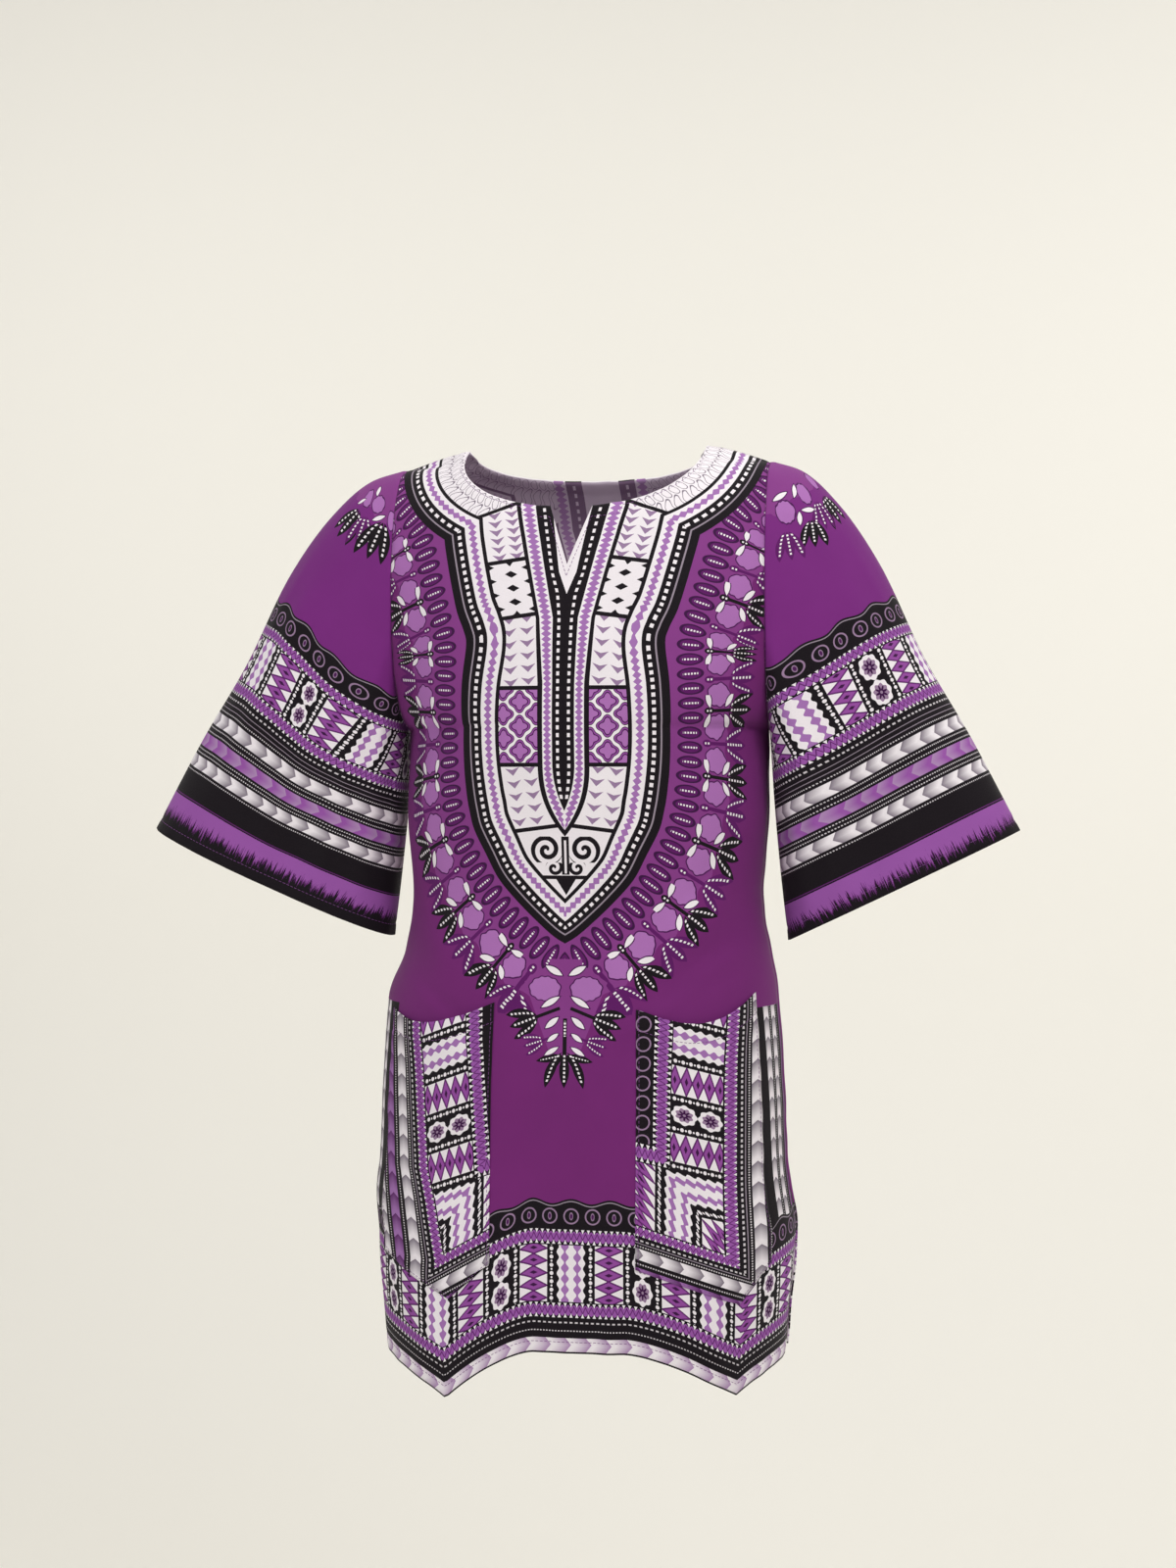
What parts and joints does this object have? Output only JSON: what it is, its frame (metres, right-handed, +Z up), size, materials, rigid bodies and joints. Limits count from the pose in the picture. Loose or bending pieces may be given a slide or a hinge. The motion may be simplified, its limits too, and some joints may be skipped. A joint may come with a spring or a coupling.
{
  "type": "dashiki tunic dress",
  "caption": "Tunic dress in printed cotton with a notched round neck, wide bell sleeves, patch pockets, side slits and a pointed hem, shaped as worn",
  "frame": {"origin": "middle of the neck opening, level with the highest points of the shoulder seams, where the dress hangs when worn", "axes": "+X to the wearer's left, -Y out of the front, +Z up"},
  "size_m": [0.7251, 0.2423, 0.7592],
  "materials": {
    "body_print": "matt printed plain-weave cotton",
    "sleeve_print": "matt printed plain-weave cotton",
    "pocket_print": "matt printed plain-weave cotton"
  },
  "bodies": {
    "root": {"front": "body_print", "back": "body_print", "sleeve_left": "sleeve_print", "sleeve_right": "sleeve_print", "pocket_left": "pocket_print", "pocket_right": "pocket_print"}
  },
  "joints": []
}
